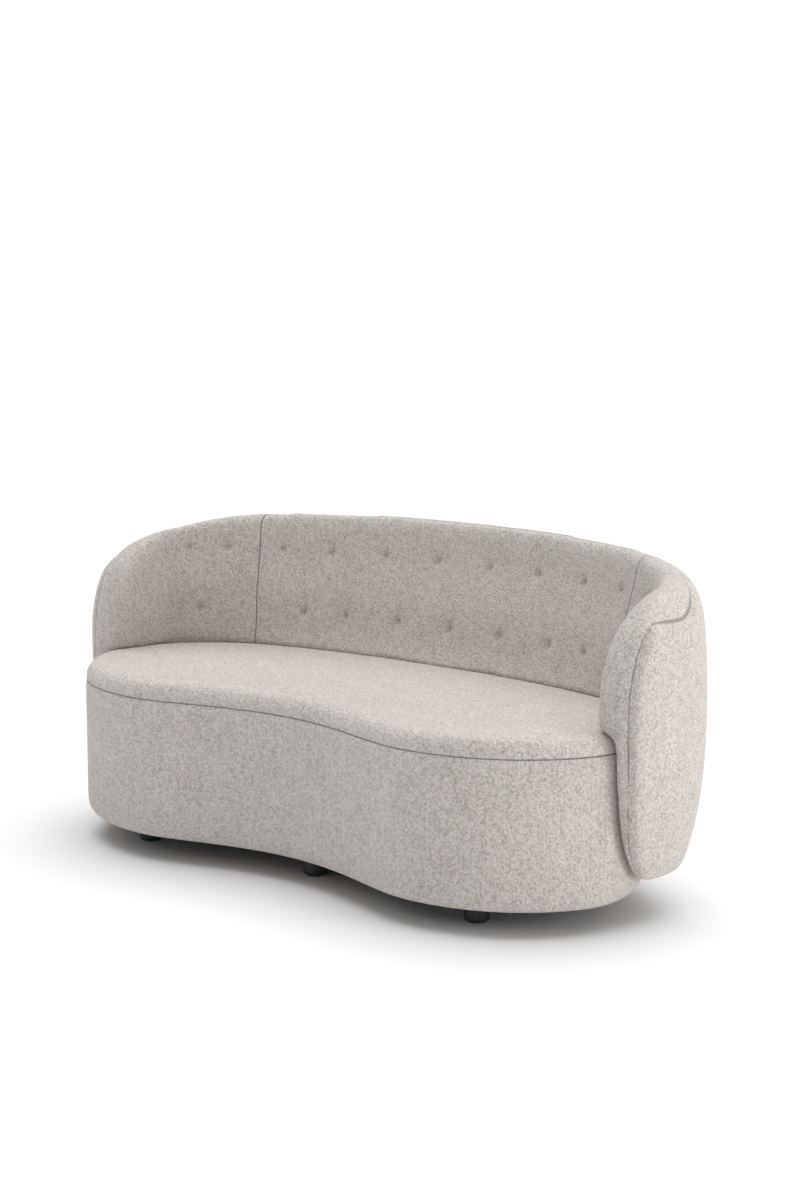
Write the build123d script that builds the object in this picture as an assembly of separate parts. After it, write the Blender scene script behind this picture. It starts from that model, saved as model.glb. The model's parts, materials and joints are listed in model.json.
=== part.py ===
"""Curved two-seat upholstered sofa: bean-shaped base, wrap-around shell back, low round feet.

Millimetres.  X runs along the sofa, -Y is the front, Z is up.  The origin is on the floor, under
the middle of the sofa's box.
"""
import math
import os

from build123d import *

os.makedirs("parts", exist_ok=True)

# ---------------------------------------------------------------- overall sizes
SHELL_WIDTH = 1728          # across the widest part of the wrap-around back
DEPTH = 805                 # front of the lobes to the rear of the back
BACK_HEIGHT = 762           # floor to the top of the back

# ---------------------------------------------------------------- base, in plan
LOBE_X = 415                # foremost point of each front lobe
HOLLOW = 79                 # how far the middle of the front lies behind the lobes
END_OVERHANG = 81           # the back stands out beyond the base by this at each end
REAR_OVERHANG = 131         # and by this at the rear
BASE_WIDTH = SHELL_WIDTH - 2 * END_OVERHANG
BASE_DEPTH = DEPTH - REAR_OVERHANG
BASE_WIDEST = 264           # behind the front of the lobes
HOLLOW_SPREAD = 184         # handle lengths of the outline's curves
LOBE_INNER_SPREAD = 106
LOBE_OUTER_SPREAD = 271
END_FRONT_SPREAD = 60
END_REAR_SPREAD = 300
REAR_SPREAD = 441

# ---------------------------------------------------------------- base, heights
UNDERSIDE = 50              # lower face of the base
SEAM_HEIGHT = 384           # seam between the side cover and the seat cover
SEAT_TOP = 420
BOTTOM_ROUND = 42           # roll of the side cover under the base
SEAT_ROUND = 30             # roll of the seat cover above its seam
DECK_HEIGHT = 306           # top face of the ring that carries the springs

# ---------------------------------------------------------------- wall build-up
COVER = 3                   # boucle with its backing
BASE_PAD = 12               # foam wrapped round the base
SKIN_BOARD = 4
PLY = 18
BACK_FOAM = 24              # over the inner face of the back
BACK_PAD = 8                # over the outer face of the back
BACK_BOARD = 3
EDGE_FOAM = 26              # round the front and top edges of the back
LINING = 3                  # cloth on the hidden inner face of the back, against the base
CLEAR = 0.5                 # between soft faces that lie against each other

# ---------------------------------------------------------------- wrap-around back
SHELL_BOTTOM = 95           # lower edge of the back above the floor
SHELL_GAP = 4               # between the base wall and the back
BELLY_HEIGHT = 450          # where the outer face is widest
BELLY_TUCK_LOW = 62         # how far the rear has come in at the lower edge
BELLY_TUCK_HIGH = 30        # and a short way below the top
SIDE_TUCK_SHARE = 0.8       # the ends come in by this much of what the rear does
SHELL_SIDE_Y = 413          # where the ends are widest, behind the front of the lobes
NOSE_OUTER = 32             # the outer face at the arm edge, inside its widest part
NOSE_INNER = 92             # the inner face at the arm edge, inside the outer face's widest part
# inner face of the back, one line per height: (height, inset of its ends from the widest part,
# inset of its middle from the rear)
INNER_FACE = (
    (SEAT_TOP + 4, 142, 204),
    (BACK_HEIGHT - 242, 136, 157),
    (BACK_HEIGHT - 142, 126, 118),
    (BACK_HEIGHT - 62, 114, 92),
    (BACK_HEIGHT - 17, 100, 79),
    (BACK_HEIGHT + 8, 79, 60),
)
# side view of the arm edge: (distance behind the front of the lobes, height)
ARM_EDGE = (
    (378, SHELL_BOTTOM - 10),
    (253, 281),
    (243, 440),
    (275, BACK_HEIGHT - 162),
    (351, BACK_HEIGHT - 82),
    (480, BACK_HEIGHT - 30),
    (690, BACK_HEIGHT + 20),
)
# front view of the top edge: (inset from the widest part, drop below the top)
TOP_EDGE = ((614, 1), (414, 6), (224, 20), (104, 51), (39, 99), (0, 202))
PANEL_SEAM_X = 552          # seams between the centre and the wing panels
EDGE_SEAM_INSET = 22        # the seam between inner and outer covers, in from the outer face

# ---------------------------------------------------------------- frame and seat
RING_WIDTH = 62
POST = 42
POST_COUNT = 12
CROSS_RAIL_X = 300
RAIL_HEIGHT = 42
SPRING_COUNT = 9
SPRING_SPACING = 130
SPRING_WIRE = 3.6
SPRING_PITCH = 26           # along the spring, from one cross run to the next
SPRING_HALF_WIDTH = 24
CLIP_SIZE = (34, 22, 3)
FELT = 5
RIB_X = (40, 200, 356, 483, 600, 770)   # to each side of the middle, between the tufts
RIB_TOP = BACK_HEIGHT - 64  # lower face of the top rail, which lies on the ribs
SEAT_RAIL_Z = 462           # lower face of the rail behind the seat
BACK_BOLT_Z = 240
BOLT = 8                    # M8 throughout

# ---------------------------------------------------------------- feet
FOOT_DIAMETER = 56
FOOT_ROUND = 7
GLIDE = 3
FOOT_BOLT_LENGTH = 46
# (x, distance behind the front of the lobes)
FEET = {
    "front_left": (-513, 144),
    "front_center": (0, 182),
    "front_right": (513, 144),
    "rear_left": (-440, 540),
    "rear_center": (0, 585),
    "rear_right": (440, 540),
}

# ---------------------------------------------------------------- tufts
TUFT_ROWS = (
    # (height, half-row of distances along X from the middle)
    (BACK_HEIGHT - 100, (81, 239, 394, 528, 655, 724)),
    (BACK_HEIGHT - 250, (0, 159, 319, 438, 690)),
)
TUFT_CORD = 2
CORD_HOLE = 6               # in the inner board
TOGGLE = (20, 5)            # diameter and thickness of the disc behind the inner board

FRONT = -DEPTH / 2


def behind(distance):
    """Y of a point that lies this far behind the front of the lobes."""
    return FRONT + distance


def mirrored_face(right_half):
    """Closed face from the edges of its right half, which start and end on X = 0."""
    left_half = [edge.mirror(Plane.YZ) for edge in right_half]
    return make_face(right_half + left_half)


def bean(grow):
    """Plan of the base, moved outwards by grow (inwards where it is negative)."""
    half = BASE_WIDTH / 2 + grow
    front = FRONT - grow
    hollow = behind(HOLLOW) - grow
    side = behind(BASE_WIDEST)
    rear = behind(BASE_DEPTH) + grow
    turn = 0.55 * grow      # the handles of a round stretch follow its radius
    first = Bezier(
        (0, hollow),
        (HOLLOW_SPREAD - turn, hollow),
        (LOBE_X - LOBE_INNER_SPREAD - turn, front),
        (LOBE_X, front),
    )
    second = Bezier(
        (LOBE_X, front),
        (LOBE_X + LOBE_OUTER_SPREAD + turn, front),
        (half, side - END_FRONT_SPREAD - turn),
        (half, side),
    )
    third = Bezier(
        (half, side),
        (half, side + END_REAR_SPREAD + turn),
        (REAR_SPREAD + turn, rear),
        (0, rear),
    )
    return mirrored_face([first, second, third])


def slab(face, low, high):
    """Upright solid of a plan face between two heights."""
    return extrude(Plane.XY.offset(low) * face, amount=high - low, dir=(0, 0, 1))


def tuck(height):
    """How far the rear of the back's outer face has come in at this height."""
    if height < BELLY_HEIGHT:
        share = (BELLY_HEIGHT - height) / (BELLY_HEIGHT - SHELL_BOTTOM)
        return BELLY_TUCK_LOW * share ** 2.6
    share = (height - BELLY_HEIGHT) / (BACK_HEIGHT - BELLY_HEIGHT - 22)
    return BELLY_TUCK_HIGH * share ** 2.3


def outer_plan(height, inset):
    """Filled plan of the outer face at one height; its front is open ground, trimmed later."""
    come_in = tuck(height)
    half = SHELL_WIDTH / 2 - SIDE_TUCK_SHARE * come_in - inset
    rear = DEPTH / 2 - come_in - inset
    side = behind(SHELL_SIDE_Y)
    ahead = FRONT - 20
    start_x = half - NOSE_OUTER - 45
    edges = [
        Line((0, ahead), (start_x, ahead)),
        Bezier((start_x, ahead), (half - NOSE_OUTER, ahead + 170), (half, side - 130), (half, side)),
        Bezier(
            (half, side),
            (half, side + 0.5523 * (rear - side)),
            (0.5523 * half, rear),
            (0, rear),
        ),
    ]
    return mirrored_face(edges)


def outer_body(inset, lift):
    """Everything inside the outer face of the back, from this far above its lower edge."""
    heights = (SHELL_BOTTOM + lift, 160, 250, BELLY_HEIGHT,
               BACK_HEIGHT - 142, BACK_HEIGHT - 62, BACK_HEIGHT + 8)
    return loft([Plane.XY.offset(z) * outer_plan(z, inset) for z in heights])


def inner_plan(end_inset, rear_inset, grow):
    """Filled plan of the open space inside the back at one height."""
    side = behind(SHELL_SIDE_Y)
    rear = behind(DEPTH - rear_inset) + grow
    edge_x = SHELL_WIDTH / 2 - NOSE_INNER + grow
    wide = SHELL_WIDTH / 2 - end_inset + grow
    ahead = FRONT - 40
    edges = [
        Line((0, ahead), (edge_x, ahead)),
        Bezier((edge_x, ahead), (edge_x + 6, ahead + 230), (wide, side - 190), (wide, side)),
        Bezier(
            (wide, side),
            (wide, side + 0.5523 * (rear - side)),
            (0.5523 * wide, rear),
            (0, rear),
        ),
    ]
    return mirrored_face(edges)


def inner_body(grow):
    """The open space above the seat, inside the back."""
    return loft([Plane.XY.offset(z) * inner_plan(end_inset, rear_inset, grow)
                 for z, end_inset, rear_inset in INNER_FACE])


def drawn_in(points, depth):
    """The points of a curve, each moved square to it by this depth, to its right."""
    moved = []
    last = len(points) - 1
    for index, (across, up) in enumerate(points):
        before = Vector(*points[max(index - 1, 0)])
        after = Vector(*points[min(index + 1, last)])
        run = (after - before).normalized()
        moved.append((across + depth * run.Y, up - depth * run.X))
    return moved


def arm_profile(shrink):
    """Solid that trims the back to the side view of its arm edge."""
    points = drawn_in([(behind(y), z) for y, z in ARM_EDGE], shrink)
    rear = DEPTH / 2 + 60
    low = points[0][1]
    high = points[-1][1]
    face = make_face([
        Spline(*points, tangents=((-1, 0.25), (1, 0.15))),
        Line(points[-1], (rear, high)),
        Line((rear, high), (rear, low)),
        Line((rear, low), points[0]),
    ])
    return extrude(Plane.YZ * face, amount=SHELL_WIDTH, both=True)


def top_profile(shrink):
    """Solid that trims the back to the front view of its top edge."""
    low = SHELL_BOTTOM - 40
    reach = SHELL_WIDTH / 2 + 60
    half = SHELL_WIDTH / 2
    edge = [(0, BACK_HEIGHT)] + [(half - inset, BACK_HEIGHT - drop) for inset, drop in TOP_EDGE]
    points = [(0, BACK_HEIGHT - shrink)] + drawn_in(edge, shrink)[1:]
    side_low = points[-1][1] - 160
    face = mirrored_face([
        Spline(*points, tangents=((1, 0), (0.1, -1))),
        Line(points[-1], (reach, side_low)),
        Line((reach, side_low), (reach, low)),
        Line((reach, low), (0, low)),
    ])
    return extrude(Plane.XZ * face, amount=DEPTH, both=True)


def trimmed(outer, edge):
    """Everything inside the outer face, the arm edges and the top edge, each drawn in."""
    return outer_body(outer, edge) & arm_profile(edge) & top_profile(edge)


def base_space(gap, ledge):
    """What the back leaves free for the base, up to the ledge that lies on the seat."""
    return slab(bean(gap), 0, SEAT_TOP + 4 + ledge)


def group(solids):
    """Separate solids that share one node."""
    return Compound(children=list(solids))


def along(face, share):
    """Point and outward direction on the outline of a plan face, at a share of its length."""
    wire = face.faces()[0].outer_wire()
    point = wire.position_at(share)
    run = wire.tangent_at(share)
    outward = Vector(run.Y, -run.X, 0)
    if outward.dot(point - Vector(0, behind(BASE_WIDEST) + 60, 0)) < 0:
        outward = -outward
    return point, outward


# ---------------------------------------------------------------- base frame
frame_line = -(COVER + BASE_PAD + SKIN_BOARD)
panel_low = UNDERSIDE + COVER
panel_high = panel_low + PLY
ring_low = DECK_HEIGHT - PLY
wall_low = UNDERSIDE + BOTTOM_ROUND

panel = slab(bean(-BOTTOM_ROUND), panel_low, panel_high)
ring = slab(bean(frame_line), ring_low, DECK_HEIGHT) - slab(
    bean(frame_line - RING_WIDTH), ring_low - 1, DECK_HEIGHT + 1)

post_line = bean(frame_line - BOTTOM_ROUND / 2 - POST / 2 - 4)
posts = []
for index in range(POST_COUNT):
    spot, _ = along(post_line, (index + 0.5) / POST_COUNT)
    posts.append(Pos(spot.X, spot.Y, (panel_high + ring_low) / 2)
                 * Box(POST, POST, ring_low - panel_high))

rail_front = behind(HOLLOW + 70)
rail_rear = behind(BASE_DEPTH - 80)
rails = []
for x in (-CROSS_RAIL_X, CROSS_RAIL_X):
    rails.append(Pos(x, (rail_front + rail_rear) / 2, panel_high + RAIL_HEIGHT / 2)
                 * Box(POST, rail_rear - rail_front, RAIL_HEIGHT))

skin_line = -(COVER + BASE_PAD)
skin = slab(bean(skin_line), wall_low, DECK_HEIGHT) - slab(
    bean(frame_line), wall_low - 1, DECK_HEIGHT + 1)

# ---------------------------------------------------------------- base cover and padding
base_block = slab(bean(0), UNDERSIDE, SEAM_HEIGHT)
base_block = fillet(base_block.faces().sort_by(Axis.Z)[0].edges(), BOTTOM_ROUND - COVER)
base_inside = slab(bean(-COVER), UNDERSIDE + COVER, SEAM_HEIGHT)
base_inside = fillet(base_inside.faces().sort_by(Axis.Z)[0].edges(), BOTTOM_ROUND - 2 * COVER)
under_opening = slab(bean(-BOTTOM_ROUND - 30), UNDERSIDE - 1, UNDERSIDE + COVER + 1)
side_cover = base_block - base_inside - under_opening

base_pad = base_inside - slab(bean(skin_line), wall_low, SEAM_HEIGHT + 1)
base_pad -= slab(bean(-BOTTOM_ROUND), UNDERSIDE, wall_low + 1)
base_pad &= slab(bean(10), UNDERSIDE, DECK_HEIGHT)

dust_cover = slab(bean(-BOTTOM_ROUND - 30 - CLEAR), UNDERSIDE + 1, panel_low)

seat_block = slab(bean(0), SEAM_HEIGHT, SEAT_TOP)
seat_block = fillet(seat_block.faces().sort_by(Axis.Z)[-1].edges(), SEAT_ROUND)
seat_inside = slab(bean(-COVER), SEAM_HEIGHT - 1, SEAT_TOP - COVER)
seat_inside = fillet(seat_inside.faces().sort_by(Axis.Z)[-1].edges(), SEAT_ROUND - COVER)
seat_cover = seat_block - seat_inside

spring_z = DECK_HEIGHT + CLIP_SIZE[2] + SPRING_WIRE / 2
felt_low = spring_z + SPRING_WIRE / 2 + CLIP_SIZE[2]
felt_high = felt_low + FELT
felt = slab(bean(frame_line), felt_low, felt_high)
foam_crown = seat_inside & slab(bean(10), SEAM_HEIGHT, SEAT_TOP)
seat_foam = slab(bean(-COVER), felt_high, SEAM_HEIGHT) + foam_crown

# ---------------------------------------------------------------- seat springs
opening = bean(frame_line - RING_WIDTH)
springs = []
clips = []
for index in range(SPRING_COUNT):
    x = (index - (SPRING_COUNT - 1) / 2) * SPRING_SPACING
    probe = opening & (Pos(x, 0) * Rectangle(2, 2 * DEPTH))
    span = probe.bounding_box()
    start = span.min.Y - 20
    stop = span.max.Y + 20
    runs = int((stop - start) / SPRING_PITCH)
    pitch = (stop - start) / runs
    points = [(x, start, spring_z)]
    for turn in range(runs):
        side = SPRING_HALF_WIDTH if turn % 2 else -SPRING_HALF_WIDTH
        points.append((x + side, start + (turn + 0.25) * pitch, spring_z))
        points.append((x + side, start + (turn + 0.75) * pitch, spring_z))
    points.append((x, stop, spring_z))
    wire = FilletPolyline(*points, radius=0.24 * pitch)
    tip = Plane(origin=wire.position_at(0), z_dir=wire.tangent_at(0))
    springs.append(sweep(tip * Circle(SPRING_WIRE / 2), path=wire))
    for y in (start, stop):
        seat_side = 1 if y == start else -1
        middle = y - seat_side * CLIP_SIZE[1] / 2
        low_leaf = Box(CLIP_SIZE[0], CLIP_SIZE[1], CLIP_SIZE[2])
        clips.append(Pos(x, middle, DECK_HEIGHT + CLIP_SIZE[2] / 2) * low_leaf)

# ---------------------------------------------------------------- feet
foot_top = UNDERSIDE + COVER
feet = {}
bolts = []
tee_nuts = []
glides = []
for name, (x, distance) in FEET.items():
    y = behind(distance)
    body = Pos(x, y, (GLIDE + foot_top) / 2) * Cylinder(FOOT_DIAMETER / 2, foot_top - GLIDE)
    body = fillet(body.edges().sort_by(Axis.Z)[0], FOOT_ROUND)
    hole_high = foot_top - 4
    bolt_low = foot_top - FOOT_BOLT_LENGTH / 2 - 2
    body -= Pos(x, y, (bolt_low + foot_top + 1) / 2) * Cylinder(BOLT / 2, foot_top + 1 - bolt_low)
    feet[name] = body
    bolt_high = panel_high + 2
    bolts.append(Pos(x, y, (bolt_low + bolt_high) / 2) * Cylinder(BOLT / 2, bolt_high - bolt_low))
    flange = Pos(x, y, panel_high + 1) * Cylinder(12, 2)
    barrel = Pos(x, y, panel_high - 6) * Cylinder(BOLT / 2 + 1.5, 12)
    bore = Pos(x, y, panel_high - 5) * Cylinder(BOLT / 2, 16)
    tee_nuts.append(flange + barrel - bore)
    panel -= Pos(x, y, (panel_low + panel_high) / 2) * Cylinder(BOLT / 2, PLY + 2)
    panel -= barrel
    dust_cover -= Pos(x, y, foot_top - 2) * Cylinder(FOOT_DIAMETER / 2 + 1, 8)
    glides.append(Pos(x, y, GLIDE / 2) * Cylinder(FOOT_DIAMETER / 2 - FOOT_ROUND, GLIDE))

# ---------------------------------------------------------------- back: covers, foam and boards
foam_in = COVER + BACK_FOAM
pad_in = COVER + BACK_PAD
core_edge = COVER + EDGE_FOAM
base_line = SHELL_GAP + LINING

under_cover = trimmed(COVER, COVER) - inner_body(COVER) - base_space(SHELL_GAP, COVER)
cover = trimmed(0, 0) - inner_body(0) - base_space(base_line, 0) - under_cover
inside_seam = outer_body(EDGE_SEAM_INSET, EDGE_FOAM)
inner_cover = cover & inside_seam
outer_cover = cover - inside_seam

lining = slab(bean(base_line), SHELL_BOTTOM, SEAT_TOP + 4) - slab(
    bean(SHELL_GAP), SHELL_BOTTOM - 1, SEAT_TOP + 5)
lining &= arm_profile(0)

core_space = outer_body(-20, core_edge) & arm_profile(core_edge) & top_profile(core_edge)
core_space = core_space - inner_body(foam_in) - base_space(SHELL_GAP, foam_in)
foam_block = outer_body(pad_in, COVER) & arm_profile(COVER) & top_profile(COVER)
foam_block = foam_block - inner_body(COVER) - base_space(base_line, COVER)
inner_foam = foam_block - core_space
outer_pad = trimmed(COVER, COVER) - outer_body(pad_in, -20)

core = trimmed(pad_in, core_edge)
outer_board = core - outer_body(pad_in + BACK_BOARD, -20) - base_space(base_line, foam_in)
inner_board = core & inner_body(foam_in + BACK_BOARD)
inner_board = inner_board - inner_body(foam_in) - base_space(base_line, foam_in)
frame_zone = trimmed(pad_in + BACK_BOARD, core_edge)
frame_zone = frame_zone - inner_body(foam_in + BACK_BOARD) - base_space(base_line, foam_in)


def side_block(low_x, high_x):
    """Block between two planes across the sofa."""
    middle = (low_x + high_x) / 2
    return Pos(middle, 0, BACK_HEIGHT / 2) * Box(high_x - low_x, 2 * DEPTH, 2 * BACK_HEIGHT)


def three_panels(wrapped):
    """Centre, left and right panels of a cover that wraps round the back."""
    far = SHELL_WIDTH
    center = wrapped & side_block(-PANEL_SEAM_X, PANEL_SEAM_X)
    return center, wrapped & side_block(-far, -PANEL_SEAM_X), wrapped & side_block(PANEL_SEAM_X, far)


# ---------------------------------------------------------------- back: ribs and rails
side_y = behind(SHELL_SIDE_Y)
rib_half = SHELL_WIDTH / 2 - 50
rib_rear = DEPTH / 2 - 60 - side_y


def between(low, high):
    """The frame's room between two heights."""
    return frame_zone & Pos(0, 0, (low + high) / 2) * Box(3 * DEPTH, 3 * DEPTH, high - low)


bottom_rail_z = SHELL_BOTTOM + core_edge + 2
bottom_rail = between(bottom_rail_z, bottom_rail_z + PLY)
seat_rail = between(SEAT_RAIL_Z, SEAT_RAIL_Z + PLY)
top_rail = between(RIB_TOP, RIB_TOP + PLY)
fixing_zone = slab(bean(base_line + PLY), BACK_BOLT_Z - 30, BACK_BOLT_Z + 30)
fixing_rail = frame_zone & fixing_zone

blades = []
for x in RIB_X:
    y = side_y + rib_rear * math.sqrt(1 - (x / rib_half) ** 2)
    facing = math.degrees(math.atan2(x / rib_half ** 2, (y - side_y) / rib_rear ** 2))
    for side in (-1, 1):
        blades.append(Pos(side * x, y, BACK_HEIGHT / 2) * Rot(0, 0, -side * facing)
                      * Box(PLY, 300, 2 * BACK_HEIGHT))
for side in (-1, 1):
    blades.append(Pos(side * rib_half, behind(ARM_EDGE[2][0] + 62), BACK_HEIGHT / 2)
                  * Box(300, PLY, 2 * BACK_HEIGHT))
rib_bays = (
    (bottom_rail_z + PLY, SEAT_RAIL_Z),
    (SEAT_RAIL_Z + PLY, RIB_TOP),
)
ribs = []
for low, high in rib_bays:
    bay = between(low, high)
    for blade in blades:
        ribs += (bay & blade).solids()

# ---------------------------------------------------------------- back: bolts into the base
reach = BOTTOM_ROUND / 2 + POST / 2 + 4 - frame_line
bolt_start = -POST / 2
bolt_stop = reach + SHELL_GAP + LINING + PLY + 2
back_bolts = []
bolt_holes = []
back_nuts = []
for index in range(POST_COUNT):
    spot, outward = along(post_line, (index + 0.5) / POST_COUNT)
    if spot.Y < behind(SHELL_SIDE_Y) - 20:
        continue
    axis = Plane(origin=(spot.X, spot.Y, BACK_BOLT_Z), z_dir=outward)
    shank = axis.offset(bolt_start) * Cylinder(
        BOLT / 2, bolt_stop - bolt_start, align=(Align.CENTER, Align.CENTER, Align.MIN))
    head = axis.offset(bolt_start - 5) * Cylinder(
        BOLT, 5, align=(Align.CENTER, Align.CENTER, Align.MIN))
    back_bolts.append(shank + head)
    bolt_holes.append(shank)
    nut_low = bolt_stop - 2
    flange = axis.offset(nut_low) * Cylinder(12, 2, align=(Align.CENTER, Align.CENTER, Align.MIN))
    back_nuts.append(flange - shank)

posts = [post - bolt_holes for post in posts]
fixing_rail -= bolt_holes
skin -= bolt_holes
base_pad -= bolt_holes
side_cover -= bolt_holes
lining -= bolt_holes
ribs = [rib - fixing_zone - bolt_holes - back_nuts for rib in ribs]

# ---------------------------------------------------------------- back: tufts


def inner_face_at(height):
    """Half width and rearmost Y of the inner face, between its listed heights."""
    for low, high in zip(INNER_FACE, INNER_FACE[1:]):
        if low[0] <= height <= high[0]:
            share = (height - low[0]) / (high[0] - low[0])
            end_inset = low[1] + share * (high[1] - low[1])
            rear_inset = low[2] + share * (high[2] - low[2])
            return SHELL_WIDTH / 2 - end_inset, behind(DEPTH - rear_inset)
    raise ValueError(f"no inner face at height {height}")


tuft_cords = []
toggles = []
board_holes = []
cord_start = 1
cord_stop = foam_in + BACK_BOARD
for height, distances in TUFT_ROWS:
    half, rear_y = inner_face_at(height)
    rear = rear_y - side_y
    for distance in distances:
        for side in (-1, 1):
            if side == -1 and distance == 0:
                continue
            x = side * distance
            y = side_y + rear * math.sqrt(1 - (distance / half) ** 2)
            outward = Vector(x / half ** 2, (y - side_y) / rear ** 2, 0).normalized()
            axis = Plane(origin=(x, y, height), z_dir=outward)
            cord = axis.offset(cord_start) * Cylinder(
                TUFT_CORD / 2, cord_stop - cord_start + 6,
                align=(Align.CENTER, Align.CENTER, Align.MIN))
            disc = axis.offset(cord_stop + 6) * Cylinder(
                TOGGLE[0] / 2, TOGGLE[1], align=(Align.CENTER, Align.CENTER, Align.MIN))
            hole = axis.offset(cord_start) * Cylinder(
                CORD_HOLE / 2, cord_stop - cord_start + 6,
                align=(Align.CENTER, Align.CENTER, Align.MIN))
            tuft_cords.append(cord)
            toggles.append(disc)
            board_holes.append(hole)

inner_board -= board_holes

inner_center, inner_left, inner_right = three_panels(inner_cover)
outer_center, outer_left, outer_right = three_panels(outer_cover)

# ---------------------------------------------------------------- write the nodes
parts = {
    "base_bottom_panel": panel,
    "base_seat_ring": ring,
    "base_posts": group(posts),
    "base_cross_rails": group(rails),
    "base_skin_board": skin,
    "base_side_foam": base_pad,
    "base_side_cover": side_cover,
    "base_dust_cover": dust_cover,
    "seat_springs": group(springs),
    "seat_spring_clips": group(clips),
    "seat_felt_pad": felt,
    "seat_foam": seat_foam,
    "seat_cover": seat_cover,
    "back_inner_cover_center": inner_center,
    "back_inner_cover_left": inner_left,
    "back_inner_cover_right": inner_right,
    "back_outer_cover_center": outer_center,
    "back_outer_cover_left": outer_left,
    "back_outer_cover_right": outer_right,
    "back_base_lining": lining,
    "back_inner_foam": inner_foam,
    "back_outer_padding": outer_pad,
    "back_inner_board": inner_board,
    "back_outer_board": outer_board,
    "back_ribs": group(ribs),
    "back_top_rail": top_rail,
    "back_seat_rail": seat_rail,
    "back_bottom_rail": bottom_rail,
    "back_fixing_rail": fixing_rail,
    "back_bolts": group(back_bolts),
    "back_bolt_nuts": group(back_nuts),
    "tuft_cords": group(tuft_cords),
    "tuft_toggles": group(toggles),
    "foot_bolts": group(bolts),
    "foot_tee_nuts": group(tee_nuts),
    "foot_glides": group(glides),
}
for name, body in feet.items():
    parts[f"foot_{name}"] = body

for name, shape in parts.items():
    export_step(shape, f"parts/{name}.step")
    print(f"{name}: {len(shape.solids())} solids, {shape.volume / 1000:.1f} cm3")
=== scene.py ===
# %% [markdown]
# # A curved boucle sofa
# A two-seat sofa with a bean-shaped base, a thick seat and a back that wraps round both ends.
# Everything is covered in one looped cloth, boucle, and stands on six low black wooden feet.
# The measured model is loaded first. Each padded piece is then grown out of the measured covers,
# so that it lies where they lie, and is rounded, filled and seamed as an upholsterer would do it.

# %% Load the measured model
import json
import math
import random

import bmesh
import bpy
import numpy as np
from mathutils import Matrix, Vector
from mathutils.bvhtree import BVHTree


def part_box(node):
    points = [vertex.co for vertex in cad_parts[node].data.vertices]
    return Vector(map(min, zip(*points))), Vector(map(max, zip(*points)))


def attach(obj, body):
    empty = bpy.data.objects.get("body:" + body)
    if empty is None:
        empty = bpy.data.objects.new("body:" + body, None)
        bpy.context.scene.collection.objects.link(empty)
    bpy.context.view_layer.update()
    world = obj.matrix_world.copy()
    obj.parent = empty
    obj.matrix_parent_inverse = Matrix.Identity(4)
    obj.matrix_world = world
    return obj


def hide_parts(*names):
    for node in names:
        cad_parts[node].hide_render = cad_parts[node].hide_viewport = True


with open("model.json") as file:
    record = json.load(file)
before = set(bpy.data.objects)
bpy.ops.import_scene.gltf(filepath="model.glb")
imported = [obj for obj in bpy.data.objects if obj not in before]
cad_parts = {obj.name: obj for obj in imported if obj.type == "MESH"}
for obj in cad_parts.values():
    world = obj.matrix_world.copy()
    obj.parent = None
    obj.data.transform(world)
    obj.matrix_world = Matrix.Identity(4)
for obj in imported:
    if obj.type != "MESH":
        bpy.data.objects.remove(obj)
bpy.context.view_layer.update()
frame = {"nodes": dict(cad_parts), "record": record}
random.seed(7)
nodes = frame["nodes"]
print("nodes in the frame:", len(nodes))

# %% [markdown]
# ## Camera
# A long lens from the front right, a little above the top of the back. A long lens keeps the
# lobes and the arms in proportion.

# %% Camera
camera_data = bpy.data.cameras.new("camera")
camera = bpy.data.objects.new("camera", camera_data)
bpy.context.scene.collection.objects.link(camera)
camera.location = (3.587, -3.951, 1.433)
camera.rotation_euler = (math.pi / 2 - 0.1531, 0, 0.7284)
camera_data.lens = 69.9
camera_data.sensor_width = 36
bpy.context.scene.camera = camera
print("camera at", tuple(round(v, 2) for v in camera.location))

# %% [markdown]
# ## Small helpers
# A padded piece starts as a joined copy of measured pieces. Voxel remeshing turns it into an even
# net of squares, which bends and smooths well. The same few steps serve the base, the seat and
# the back, so they are functions.

# %% Sizes used in several cells, in metres
NET_SIZE = 0.008            # voxel net of a padded piece
MERGE = 0.00002             # points closer than this are one point
SHORTEST_CUT = 0.0004       # a cut snaps to points this close to it
EDGE_SEAM_DEPTH = 0.0055
EDGE_SEAM_SPREAD = 0.011
print("net size:", NET_SIZE)


# %% Copy measured pieces into one new mesh
def joined_copy(name, *sources):
    """New object that holds a merged copy of these measured nodes."""
    shape = bmesh.new()
    for source in sources:
        shape.from_mesh(nodes[source].data)
    bmesh.ops.remove_doubles(shape, verts=shape.verts, dist=MERGE)
    mesh = bpy.data.meshes.new(name)
    shape.to_mesh(mesh)
    shape.free()
    piece = bpy.data.objects.new(name, mesh)
    bpy.context.scene.collection.objects.link(piece)
    return piece


# %% Apply the modifiers of a piece
def apply_modifiers(piece):
    """The piece's mesh becomes what its modifiers make of it."""
    bpy.context.view_layer.update()
    graph = bpy.context.evaluated_depsgraph_get()
    mesh = bpy.data.meshes.new_from_object(piece.evaluated_get(graph))
    piece.modifiers.clear()
    piece.data = mesh


# %% Even net of squares
def remesh(piece, size):
    """Closed even net over the outside of everything in the piece."""
    modifier = piece.modifiers.new("net", "REMESH")
    modifier.mode = "VOXEL"
    modifier.voxel_size = size
    apply_modifiers(piece)


# %% Edit a piece as a bmesh
class Edit:
    """Opens a piece's mesh for bmesh operators, and writes it back at the end."""

    def __init__(self, piece):
        self.piece = piece

    def __enter__(self):
        self.shape = bmesh.new()
        self.shape.from_mesh(self.piece.data)
        self.shape.verts.ensure_lookup_table()
        return self.shape

    def __exit__(self, *_):
        self.shape.normal_update()
        self.shape.to_mesh(self.piece.data)
        self.shape.free()


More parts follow.
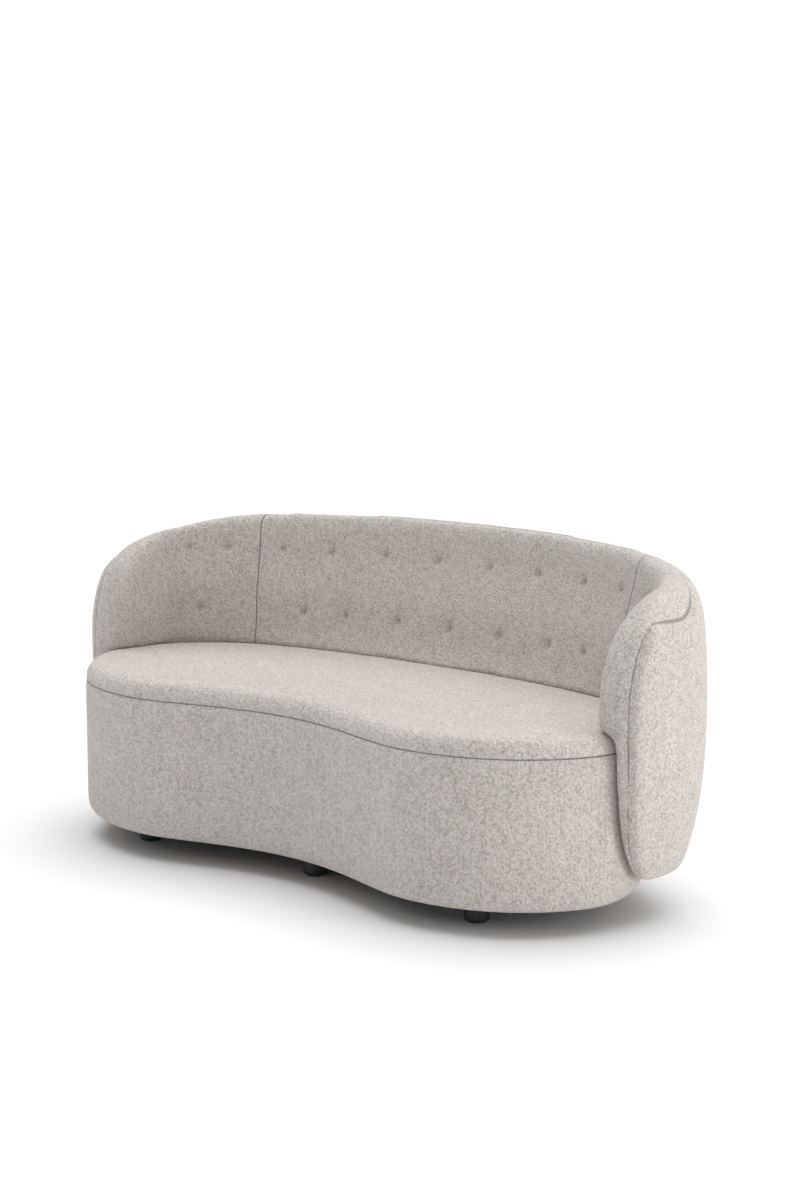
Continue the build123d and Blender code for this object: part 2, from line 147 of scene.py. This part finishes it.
def smooth(shape, rounds):
    """Moves every point halfway to its neighbours' middle, this many times."""
    for _ in range(rounds):
        bmesh.ops.smooth_vert(shape, verts=shape.verts, factor=0.5,
                              use_axis_x=True, use_axis_y=True, use_axis_z=True)


# %% Keep one side of a cut, and close it
def keep_side(piece, point, away):
    """Cuts the piece by a plane, drops what lies on the side it faces and fills the cut."""
    with Edit(piece) as shape:
        cut = bmesh.ops.bisect_plane(
            shape, geom=shape.verts[:] + shape.edges[:] + shape.faces[:], dist=SHORTEST_CUT,
            plane_co=point, plane_no=away, clear_outer=True)
        rim = [e for e in cut["geom_cut"] if isinstance(e, bmesh.types.BMEdge) and e.is_boundary]
        bmesh.ops.triangle_fill(shape, edges=rim, use_beauty=False, normal=away)


# %% Points and normals of a piece as arrays
def read_points(piece):
    count = len(piece.data.vertices)
    points = np.empty(count * 3)
    normals = np.empty(count * 3)
    piece.data.vertices.foreach_get("co", points)
    piece.data.vertex_normals.foreach_get("vector", normals)
    return points.reshape(-1, 3), normals.reshape(-1, 3)


def write_points(piece, points):
    piece.data.vertices.foreach_set("co", points.ravel())
    piece.data.update()


def distance_to(points, *names):
    """Distance from each point to the nearest of some measured nodes."""
    nearest = np.full(len(points), 1e9)
    for name in names:
        tree = BVHTree.FromPolygons(
            [v.co for v in nodes[name].data.vertices],
            [p.vertices for p in nodes[name].data.polygons])
        found = [tree.find_nearest(point)[3] for point in points]
        nearest = np.minimum(nearest, found)
    return nearest


def store(piece, name, values):
    """Keeps a value per vertex, which a material can read."""
    attribute = piece.data.attributes.new(name, "FLOAT", "POINT")
    attribute.data.foreach_set("value", values.astype(np.float32))


def finer(piece):
    """Halves the size of the net and rounds it, before any cut leaves long faces."""
    modifier = piece.modifiers.new("finer", "SUBSURF")
    modifier.levels = 1
    modifier.render_levels = 1
    apply_modifiers(piece)


def finish_soft(piece):
    """Shades a soft piece smooth and fixes it to the sofa."""
    for face in piece.data.polygons:
        face.use_smooth = True
    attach(piece, "root")
    print(piece.name, "has", len(piece.data.polygons), "faces")


# %% [markdown]
# ## Shader groups
# Boucle is a yarn with irregular loops. Seen close, it is a field of small round bumps with shaded
# gaps between them. The same loops make the relief and the colour speckle, so one group gives both,
# with a tint for each loop and a gap value that the cloth uses for painted shade in the gaps. The
# faint upright ribs of the ground weave come from stretched noise in the material itself.

# %% Node helpers
def new_group(name, inputs, outputs):
    group = bpy.data.node_groups.new(name, "ShaderNodeTree")
    for label, kind, value in inputs:
        socket = group.interface.new_socket(label, in_out="INPUT", socket_type=kind)
        if value is not None:
            socket.default_value = value
    for label, kind in outputs:
        group.interface.new_socket(label, in_out="OUTPUT", socket_type=kind)
    return group


def add(tree, kind, **settings):
    """A node, with plain settings as attributes and 'in_' settings as socket values."""
    node = tree.nodes.new(kind)
    for key, value in settings.items():
        if key.startswith("in_"):
            node.inputs[key[3:].replace("_", " ")].default_value = value
        else:
            setattr(node, key, value)
    return node


def math_node(tree, operation, first, second=None, clamp=False):
    """A Math node whose inputs are sockets or plain numbers."""
    node = add(tree, "ShaderNodeMath", operation=operation, use_clamp=clamp)
    for slot, value in enumerate((first, second)):
        if value is None:
            continue
        if isinstance(value, (int, float)):
            node.inputs[slot].default_value = value
        else:
            tree.links.new(value, node.inputs[slot])
    return node.outputs[0]


def ramp(tree, source, stops):
    node = add(tree, "ShaderNodeValToRGB")
    elements = node.color_ramp.elements
    while len(elements) < len(stops):
        elements.new(0.5)
    for element, (position, color) in zip(elements, stops):
        element.position = position
        element.color = (*color, 1)
    tree.links.new(source, node.inputs[0])
    return node.outputs[0]


# %% Boucle loops
def boucle_group():
    group = new_group(
        "boucle_loops",
        [("Vector", "NodeSocketVector", None), ("Loops per metre", "NodeSocketFloat", 230.0)],
        [("Height", "NodeSocketFloat"), ("Gaps", "NodeSocketFloat"), ("Tint", "NodeSocketFloat"),
         ("Patches", "NodeSocketFloat")])
    start = add(group, "NodeGroupInput")
    end = add(group, "NodeGroupOutput")
    link = group.links.new
    wander = add(group, "ShaderNodeTexNoise", in_Scale=90.0, in_Detail=2.0, in_Roughness=0.6)
    link(start.outputs["Vector"], wander.inputs["Vector"])
    pushed = add(group, "ShaderNodeVectorMath", operation="MULTIPLY_ADD")
    link(wander.outputs["Color"], pushed.inputs[0])
    pushed.inputs[1].default_value = (0.006, 0.006, 0.006)
    link(start.outputs["Vector"], pushed.inputs[2])
    cells = add(group, "ShaderNodeTexVoronoi", feature="F1", in_Randomness=0.9)
    link(pushed.outputs[0], cells.inputs["Vector"])
    link(start.outputs["Loops per metre"], cells.inputs["Scale"])
    fine = add(group, "ShaderNodeTexNoise", in_Scale=900.0, in_Detail=3.0, in_Roughness=0.65)
    link(start.outputs["Vector"], fine.inputs["Vector"])
    round_top = math_node(group, "SUBTRACT", 1.0, cells.outputs["Distance"], clamp=True)
    fuzz = math_node(group, "MULTIPLY", fine.outputs["Fac"], 0.45)
    link(math_node(group, "ADD", round_top, fuzz), end.inputs["Height"])
    # Gaps grows away from a loop's middle; the cloth uses it for painted shade in the gaps and for
    # roughness.
    gaps = math_node(group, "MULTIPLY_ADD", cells.outputs["Distance"], 1.4, clamp=True)
    gaps.node.inputs[2].default_value = -0.3
    link(gaps, end.inputs["Gaps"])
    split = add(group, "ShaderNodeSeparateColor")
    link(cells.outputs["Color"], split.inputs[0])
    link(split.outputs[0], end.inputs["Tint"])
    patches = add(group, "ShaderNodeTexNoise", in_Scale=14.0, in_Detail=3.0, in_Roughness=0.6)
    link(start.outputs["Vector"], patches.inputs["Vector"])
    link(patches.outputs["Fac"], end.inputs["Patches"])
    return group


boucle_loops = boucle_group()
print("shader group:", boucle_loops.name)

# %% [markdown]
# ## Boucle
# The colour is a warm off-white, painted greyer in the gaps between the loops as painted shade.
# Upright ribs come from noise that is stretched tall. The stitched seams are lines: each padded
# piece stores how far every point is from its seam, and the cloth sinks and gets painted shade
# within a millimetre or two of it.

# %% Boucle cloth
def boucle_material():
    material = bpy.data.materials.new("boucle")
    material.use_nodes = True
    tree = material.node_tree
    link = tree.links.new
    shader = tree.nodes["Principled BSDF"]
    where = add(tree, "ShaderNodeTexCoord")
    loops = add(tree, "ShaderNodeGroup", node_tree=boucle_loops)
    link(where.outputs["Object"], loops.inputs["Vector"])
    tall = add(tree, "ShaderNodeMapping", in_Scale=(150.0, 150.0, 9.0))
    link(where.outputs["Object"], tall.inputs["Vector"])
    ribs = add(tree, "ShaderNodeTexNoise", in_Scale=1.0, in_Detail=2.0, in_Roughness=0.5)
    link(tall.outputs[0], ribs.inputs["Vector"])
    seam = add(tree, "ShaderNodeAttribute", attribute_name="seam")
    off_seam = add(tree, "ShaderNodeMapRange", interpolation_type="SMOOTHSTEP", in_From_Min=0.0003,
                   in_From_Max=0.0019)
    link(seam.outputs["Fac"], off_seam.inputs["Value"])

    # The tone mixes painted shade in the gaps between loops with a random tint per loop, the ribs
    # and slow patches.
    shade = math_node(tree, "MULTIPLY", loops.outputs["Gaps"], 0.35)
    for source, weight in ((loops.outputs["Tint"], 0.38), (ribs.outputs["Fac"], 0.22),
                           (loops.outputs["Patches"], 0.15)):
        shade = math_node(tree, "ADD", shade, math_node(tree, "MULTIPLY", source, weight))
    color = ramp(tree, shade, (
        (0.18, (0.80, 0.752, 0.712)),
        (0.50, (0.66, 0.612, 0.572)),
        (0.90, (0.38, 0.346, 0.318)),
    ))
    # Painted shade in the seams: near a seam the colour goes to this dark grey.
    seam_painted_shade = add(tree, "ShaderNodeMix", data_type="RGBA", blend_type="MIX")
    seam_painted_shade.inputs["A"].default_value = (0.33, 0.30, 0.275, 1)
    link(off_seam.outputs[0], seam_painted_shade.inputs["Factor"])
    link(color, seam_painted_shade.inputs["B"])
    link(seam_painted_shade.outputs["Result"], shader.inputs["Base Color"])

    height = math_node(tree, "MULTIPLY", loops.outputs["Height"], 0.8)
    height = math_node(tree, "ADD", height, math_node(tree, "MULTIPLY", ribs.outputs["Fac"], 0.5))
    height = math_node(tree, "ADD", height, off_seam.outputs[0])
    relief = add(tree, "ShaderNodeBump", in_Strength=0.9, in_Distance=0.0030)
    link(height, relief.inputs["Height"])
    link(relief.outputs[0], shader.inputs["Normal"])
    rough = math_node(tree, "MULTIPLY", loops.outputs["Gaps"], 0.08)
    rough = math_node(tree, "ADD", rough, 0.88, clamp=True)
    link(rough, shader.inputs["Roughness"])
    shader.inputs["Specular IOR Level"].default_value = 0.18
    shader.inputs["Sheen Weight"].default_value = 0.22
    shader.inputs["Sheen Roughness"].default_value = 0.55
    return material


boucle = boucle_material()
print("material:", boucle.name)

# %% [markdown]
# ## Woods, metals and hidden cloths
# The frame pieces sit under the covers, but they get honest finishes too: birch plywood with its
# layers, softwood with long grain, brown hardboard, oiled spring wire and zinc-plated bolts. All
# the woods share one grain group.

# %% Wood grain
def grain_group():
    group = new_group(
        "wood_grain",
        [("Vector", "NodeSocketVector", None), ("Stretch", "NodeSocketVector", (60.0, 60.0, 4.0))],
        [("Grain", "NodeSocketFloat"), ("Pores", "NodeSocketFloat")])
    start = add(group, "NodeGroupInput")
    end = add(group, "NodeGroupOutput")
    link = group.links.new
    long_way = add(group, "ShaderNodeVectorMath", operation="MULTIPLY")
    link(start.outputs["Vector"], long_way.inputs[0])
    link(start.outputs["Stretch"], long_way.inputs[1])
    rings = add(group, "ShaderNodeTexNoise", in_Scale=1.0, in_Detail=4.0, in_Roughness=0.6,
                in_Distortion=0.6)
    link(long_way.outputs[0], rings.inputs["Vector"])
    link(rings.outputs["Fac"], end.inputs["Grain"])
    pores = add(group, "ShaderNodeTexNoise", in_Scale=9.0, in_Detail=2.0, in_Roughness=0.7)
    link(long_way.outputs[0], pores.inputs["Vector"])
    link(pores.outputs["Fac"], end.inputs["Pores"])
    return group


wood_grain = grain_group()


def wood_material(name, dark, light, stretch, roughness, relief, coat=0.0):
    """Wood with grain along the axis of least stretch."""
    material = bpy.data.materials.new(name)
    material.use_nodes = True
    tree = material.node_tree
    link = tree.links.new
    shader = tree.nodes["Principled BSDF"]
    where = add(tree, "ShaderNodeTexCoord")
    grain = add(tree, "ShaderNodeGroup", node_tree=wood_grain)
    grain.inputs["Stretch"].default_value = stretch
    link(where.outputs["Object"], grain.inputs["Vector"])
    tone = ramp(tree, grain.outputs["Grain"], ((0.3, dark), (0.7, light)))
    link(tone, shader.inputs["Base Color"])
    rough = math_node(tree, "MULTIPLY", grain.outputs["Pores"], 0.2)
    link(math_node(tree, "ADD", rough, roughness - 0.1, clamp=True), shader.inputs["Roughness"])
    bump = add(tree, "ShaderNodeBump", in_Strength=0.5, in_Distance=relief)
    link(grain.outputs["Pores"], bump.inputs["Height"])
    link(bump.outputs[0], shader.inputs["Normal"])
    shader.inputs["Coat Weight"].default_value = coat
    shader.inputs["Coat Roughness"].default_value = 0.35
    return material


# %% Steel
def steel_material(name, color, roughness):
    material = bpy.data.materials.new(name)
    material.use_nodes = True
    tree = material.node_tree
    link = tree.links.new
    shader = tree.nodes["Principled BSDF"]
    where = add(tree, "ShaderNodeTexCoord")
    stains = add(tree, "ShaderNodeTexNoise", in_Scale=120.0, in_Detail=4.0, in_Roughness=0.6)
    link(where.outputs["Object"], stains.inputs["Vector"])
    dim = tuple(0.75 * value for value in color)
    tone = ramp(tree, stains.outputs["Fac"], ((0.35, dim), (0.65, color)))
    link(tone, shader.inputs["Base Color"])
    rough = math_node(tree, "MULTIPLY", stains.outputs["Fac"], 0.25)
    link(math_node(tree, "ADD", rough, roughness - 0.12, clamp=True), shader.inputs["Roughness"])
    shader.inputs["Metallic"].default_value = 1.0
    return material


# %% Felt, nonwoven cloth, foam, twine and the moulded tuft discs
def plain_soft(name, dark, light, scale, roughness, relief):
    """A soft material with small mottling at the given scale."""
    material = bpy.data.materials.new(name)
    material.use_nodes = True
    tree = material.node_tree
    link = tree.links.new
    shader = tree.nodes["Principled BSDF"]
    where = add(tree, "ShaderNodeTexCoord")
    fibres = add(tree, "ShaderNodeTexNoise", in_Scale=scale, in_Detail=5.0, in_Roughness=0.7,
                 in_Distortion=1.2)
    link(where.outputs["Object"], fibres.inputs["Vector"])
    tone = ramp(tree, fibres.outputs["Fac"], ((0.35, dark), (0.65, light)))
    link(tone, shader.inputs["Base Color"])
    bump = add(tree, "ShaderNodeBump", in_Strength=0.6, in_Distance=relief)
    link(fibres.outputs["Fac"], bump.inputs["Height"])
    link(bump.outputs[0], shader.inputs["Normal"])
    shader.inputs["Roughness"].default_value = roughness
    return material


# %% One material for each of the record's finishes
finishes = {
    "boucle": boucle,
    "stained_wood": wood_material("stained_wood", (0.008, 0.007, 0.007), (0.022, 0.020, 0.019),
                                  (110.0, 110.0, 9.0), 0.42, 0.0003, coat=0.25),
    "plywood": wood_material("plywood", (0.50, 0.34, 0.19), (0.72, 0.55, 0.36),
                             (5.0, 22.0, 420.0), 0.6, 0.0002),
    "pine": wood_material("pine", (0.55, 0.36, 0.18), (0.78, 0.60, 0.38),
                          (70.0, 70.0, 5.0), 0.55, 0.0002),
    "hardboard": plain_soft("hardboard", (0.20, 0.11, 0.055), (0.31, 0.18, 0.09), 260.0, 0.6,
                            0.0002),
    "foam": plain_soft("foam", (0.80, 0.74, 0.50), (0.90, 0.86, 0.66), 700.0, 0.9, 0.0006),
    "felt": plain_soft("felt", (0.05, 0.05, 0.05), (0.12, 0.115, 0.11), 420.0, 0.95, 0.0005),
    "dust_cloth": plain_soft("dust_cloth", (0.012, 0.012, 0.013), (0.03, 0.03, 0.032), 520.0, 0.9,
                             0.0003),
    "spring_steel": steel_material("spring_steel", (0.12, 0.12, 0.13), 0.42),
    "zinc_steel": steel_material("zinc_steel", (0.66, 0.67, 0.70), 0.34),
    "cord": plain_soft("cord", (0.45, 0.38, 0.30), (0.66, 0.58, 0.48), 1500.0, 0.85, 0.0003),
    "toggle": plain_soft("toggle", (0.74, 0.72, 0.68), (0.82, 0.80, 0.76), 90.0, 0.5, 0.0001),
}
for part in frame["record"]["subparts"]:
    carried = nodes[part["node"]]
    carried.data.materials.clear()
    carried.data.materials.append(finishes[part["material_slot"]])
print("finishes:", ", ".join(finishes))

# %% [markdown]
# ## Base and seat
# The base is a tall bean-shaped drum with its lower edge rolled under, and the seat is a thick pad
# with the same outline that is sewn to it all round. Both come from one body, so that their edges
# meet along the seam. It is netted over the measured covers, rounded, and cut at the seam's height.

# %% One body for base and seat
seam_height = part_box("base_side_cover")[1].z
seat_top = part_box("seat_cover")[1].z
base_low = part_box("base_side_cover")[0].z
drum = joined_copy("drum", "base_side_cover", "base_bottom_panel", "foot_bolts", "seat_cover")
keep_side(drum, (0, 0, base_low + 0.003), (0, 0, -1))
remesh(drum, NET_SIZE)
with Edit(drum) as shape:
    smooth(shape, 6)
finer(drum)
print("drum:", len(drum.data.vertices), "points")

# %% Cut the drum at the seam
PULL_DEPTH = 0.0022         # how far the seam draws the walls in
PULL_SPREAD = 0.007         # and over what height
CROWN = 0.006               # rise of the seat's filling
base = drum
base.name = "base_upholstery"
seat = bpy.data.objects.new("seat_cushion", base.data.copy())
bpy.context.scene.collection.objects.link(seat)
keep_side(base, (0, 0, seam_height), (0, 0, 1))
keep_side(seat, (0, 0, seam_height), (0, 0, -1))

for piece in (base, seat):
    points, normals = read_points(piece)
    height = np.abs(points[:, 2] - seam_height)
    pull = PULL_DEPTH * np.exp(-(height / PULL_SPREAD) ** 2)
    flat = normals * (1, 1, 0)
    wall = np.linalg.norm(flat, axis=1, keepdims=True)
    points -= pull[:, None] * flat / np.maximum(wall, 0.2)
    if piece is seat:
        share = np.clip((points[:, 2] - seam_height) / (seat_top - seam_height), 0, 1)
        points[:, 2] += CROWN * share ** 2
    write_points(piece, points)
    store(piece, "seam", height)
    piece.data.materials.append(boucle)
    finish_soft(piece)
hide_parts("base_side_cover", "base_side_foam")
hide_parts("seat_cover", "seat_foam", "seat_felt_pad")

# %% [markdown]
# ## Back
# The back is a shell that wraps from arm to arm. Its inner and outer covers meet along a seam that
# runs round the arm edges and over the top. Two upright seams part the centre panel from the wings.
# The body is netted over all the covers, its edges are rounded by smoothing, and then the tufts are
# pulled in.

# %% One body for the back
covers = [f"back_{side}_cover_{panel}" for side in ("inner", "outer")
          for panel in ("center", "left", "right")]
back = joined_copy("back", *covers, "back_base_lining")
remesh(back, NET_SIZE)
with Edit(back) as shape:
    smooth(shape, 34)
print("back:", len(back.data.vertices), "points")

# %% The seam round the edge
PLUMP = 0.0028              # the smoothed back is filled out again by this
LINING_REACH = 0.012        # the cover has no seam this close to the lining
NO_SEAM = 1.0               # a distance that stands for "nowhere near a seam"
points, normals = read_points(back)
inner_side = distance_to(points, *covers[:3])
outer_side = distance_to(points, *covers[3:])
seam = np.abs(inner_side - outer_side)
points += normals * PLUMP
write_points(back, points)
below = distance_to(points, "back_base_lining") < LINING_REACH
seam = np.where(below, NO_SEAM, seam)
store(back, "seam", seam)
finer(back)
points, normals = read_points(back)
seam = np.empty(len(points), np.float32)
back.data.attributes["seam"].data.foreach_get("value", seam)
points -= normals * (EDGE_SEAM_DEPTH * np.exp(-(seam / EDGE_SEAM_SPREAD) ** 2))[:, None]
print("points on the edge seam:", int((seam < 0.004).sum()))


# %% Where the tufts are
def islands(node):
    """The separate solids of a measured node, each as an array of its points."""
    with_faces = bmesh.new()
    with_faces.from_mesh(nodes[node].data)
    bmesh.ops.remove_doubles(with_faces, verts=with_faces.verts, dist=MERGE)
    left = set(with_faces.verts)
    found = []
    while left:
        pending = [left.pop()]
        group = []
        while pending:
            vert = pending.pop()
            group.append(tuple(vert.co))
            for edge in vert.link_edges:
                other = edge.other_vert(vert)
                if other in left:
                    left.discard(other)
                    pending.append(other)
        found.append(np.array(group))
    with_faces.free()
    return found


tufts = []
for cord in islands("tuft_cords"):
    middle = cord.mean(axis=0)
    axis = np.linalg.svd(cord - middle)[2][0]
    if axis @ (middle * (1, 1, 0)) < 0:
        axis = -axis
    tufts.append((middle - axis * np.ptp(cord @ axis) / 2, axis))
tufts.sort(key=lambda tuft: (round(tuft[0][2], 2), tuft[0][0]))
print("tufts:", len(tufts))

# %% Pull the tufts in
TUFT_LAYER = 0.012          # only cloth this close to the stitch's front end moves
TUFT_REACH = 0.12           # and only this far round it
for spot, axis in tufts:
    rel = points - spot
    deep = rel @ axis
    side = np.cross(axis, (0, 0, 1))
    side /= np.linalg.norm(side)
    lean = math.radians(random.uniform(52, 78))
    across_x = rel @ side
    across_z = rel[:, 2]
    along = across_x * math.cos(lean) + across_z * math.sin(lean)
    across = -across_x * math.sin(lean) + across_z * math.cos(lean)
    reach = np.hypot(across_x, across_z)
    near = (deep < TUFT_LAYER) & (reach < TUFT_REACH) & (normals @ axis < -0.3)
    button = 0.0075 * np.exp(-(reach / 0.010) ** 2)
    hollow = 0.0030 * np.exp(-(reach / 0.034) ** 2)
    crease = 0.0028 * np.exp(-(across / 0.007) ** 2 - (along / 0.024) ** 2)
    dip = button + hollow + crease
    points += np.where(near, dip, 0)[:, None] * axis
write_points(back, points)

# %% Centre panel and wings
PANEL_SEAM_X = 0.552        # the upright seams, where the back meets the seat
PANEL_SEAM_Z = 0.424
PANEL_SEAM_LEAN = 0.12      # and how much they lean out with height
panels = {}
for name, sides in (("center", (-1, 1)), ("left", (-1,)), ("right", (1,))):
    panel = bpy.data.objects.new(f"back_{name}", back.data.copy())
    bpy.context.scene.collection.objects.link(panel)
    for side in sides:
        outwards = Vector((side, 0, -PANEL_SEAM_LEAN)).normalized()
        away = outwards if name == "center" else -outwards
        keep_side(panel, (side * PANEL_SEAM_X, 0, PANEL_SEAM_Z), away)
    panels[name] = panel
bpy.data.objects.remove(back)

for name, panel in panels.items():
    near, _ = read_points(panel)
    seam_x = PANEL_SEAM_X + PANEL_SEAM_LEAN * (near[:, 2] - PANEL_SEAM_Z)
    to_panel_seam = np.abs(np.abs(near[:, 0]) - seam_x)
    stored = np.empty(len(near), np.float32)
    panel.data.attributes["seam"].data.foreach_get("value", stored)
    values = np.minimum(stored, to_panel_seam)
    panel.data.attributes["seam"].data.foreach_set("value", values.astype(np.float32))
    panel.data.materials.append(boucle)
    finish_soft(panel)
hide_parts("back_inner_cover_center", "back_outer_cover_center",
            "back_inner_foam", "back_outer_padding", "back_base_lining")
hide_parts("back_inner_cover_left", "back_outer_cover_left")
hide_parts("back_inner_cover_right", "back_outer_cover_right")

# %% [markdown]
# ## Cloth under the base
# A thin black nonwoven cloth is stapled to the underside, and keeps the dust out of the springs.
# It is one flat cut of cloth that hangs a millimetre or two lower away from its edge.

# %% Underside cloth
SAG = 0.0015
cloth = joined_copy("underside_cloth", "base_dust_cover")
with Edit(cloth) as shape:
    not_lower = [f for f in shape.faces if f.normal.z > -0.9]
    bmesh.ops.delete(shape, geom=not_lower, context="FACES")
with Edit(cloth) as shape:
    long_edges = [e for e in shape.edges if e.calc_length() > 0.05]
    bmesh.ops.subdivide_edges(shape, edges=long_edges, cuts=6, use_grid_fill=True)
    bmesh.ops.triangulate(shape, faces=shape.faces[:])
    inside = [v for v in shape.verts if not v.is_boundary]
    bmesh.ops.translate(shape, verts=inside, vec=(0, 0, -SAG))
cloth.data.materials.append(finishes["dust_cloth"])
finish_soft(cloth)
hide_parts("base_dust_cover")

# %% [markdown]
# ## Floor and light
# A flat white studio floor that runs on past the view, a wide soft sun overhead, a small disk of
# light low on the right, and even light from all round. The light is stronger from above than from
# the sides, so the seat is bright and the walls fall off gently.

# %% Wide floor
FLOOR_HALF = 60


def wide_floor():
    """Flat white floor that the camera sees and the export leaves out."""
    shape = bmesh.new()
    bmesh.ops.create_grid(shape, x_segments=1, y_segments=1, size=FLOOR_HALF)
    mesh = bpy.data.meshes.new("studio_floor")
    shape.to_mesh(mesh)
    shape.free()
    floor = bpy.data.objects.new("studio_floor", mesh)
    bpy.context.scene.collection.objects.link(floor)
    material = bpy.data.materials.new("studio_floor")
    material.use_nodes = True
    shader = material.node_tree.nodes["Principled BSDF"]
    shader.inputs["Base Color"].default_value = (0.90, 0.90, 0.90, 1)
    shader.inputs["Roughness"].default_value = 0.75
    shader.inputs["Specular IOR Level"].default_value = 0.15
    mesh.materials.append(material)


wide_floor()

# %% Lights
def area_light(name, place, target, size, power):
    """Round lamp at a place, turned to face a target."""
    data = bpy.data.lights.new(name, "AREA")
    data.shape = "DISK"
    data.size = size
    data.energy = power
    lamp = bpy.data.objects.new(name, data)
    lamp.location = place
    lamp.rotation_euler = (Vector(target) - Vector(place)).to_track_quat("-Z", "Y").to_euler()
    bpy.context.scene.collection.objects.link(lamp)


above = bpy.data.lights.new("above", "SUN")
above.energy = 2.75
above.angle = math.radians(75)
above_lamp = bpy.data.objects.new("above", above)
above_lamp.rotation_euler = Vector((0.10, -0.22, -1)).to_track_quat("-Z", "Y").to_euler()
bpy.context.scene.collection.objects.link(above_lamp)
area_light("low_side", (3.4, 0.5, 0.7), (0.86, 0.1, 0.4), 1.4, 26)
world = bpy.data.worlds.new("studio")
bpy.context.scene.world = world
world.use_nodes = True
sky = world.node_tree
even_light = sky.nodes["Background"]
even_light.inputs["Color"].default_value = (1, 1, 1, 1)
even_light.inputs["Strength"].default_value = 0.36
backdrop = add(sky, "ShaderNodeBackground", in_Color=(1, 1, 1, 1), in_Strength=1.05)
who = add(sky, "ShaderNodeLightPath")
either = add(sky, "ShaderNodeMixShader")
sky.links.new(who.outputs["Is Camera Ray"], either.inputs[0])
sky.links.new(even_light.outputs[0], either.inputs[1])
sky.links.new(backdrop.outputs[0], either.inputs[2])
sky.links.new(either.outputs[0], sky.nodes["World Output"].inputs[0])
bpy.context.scene.view_settings.view_transform = "Standard"
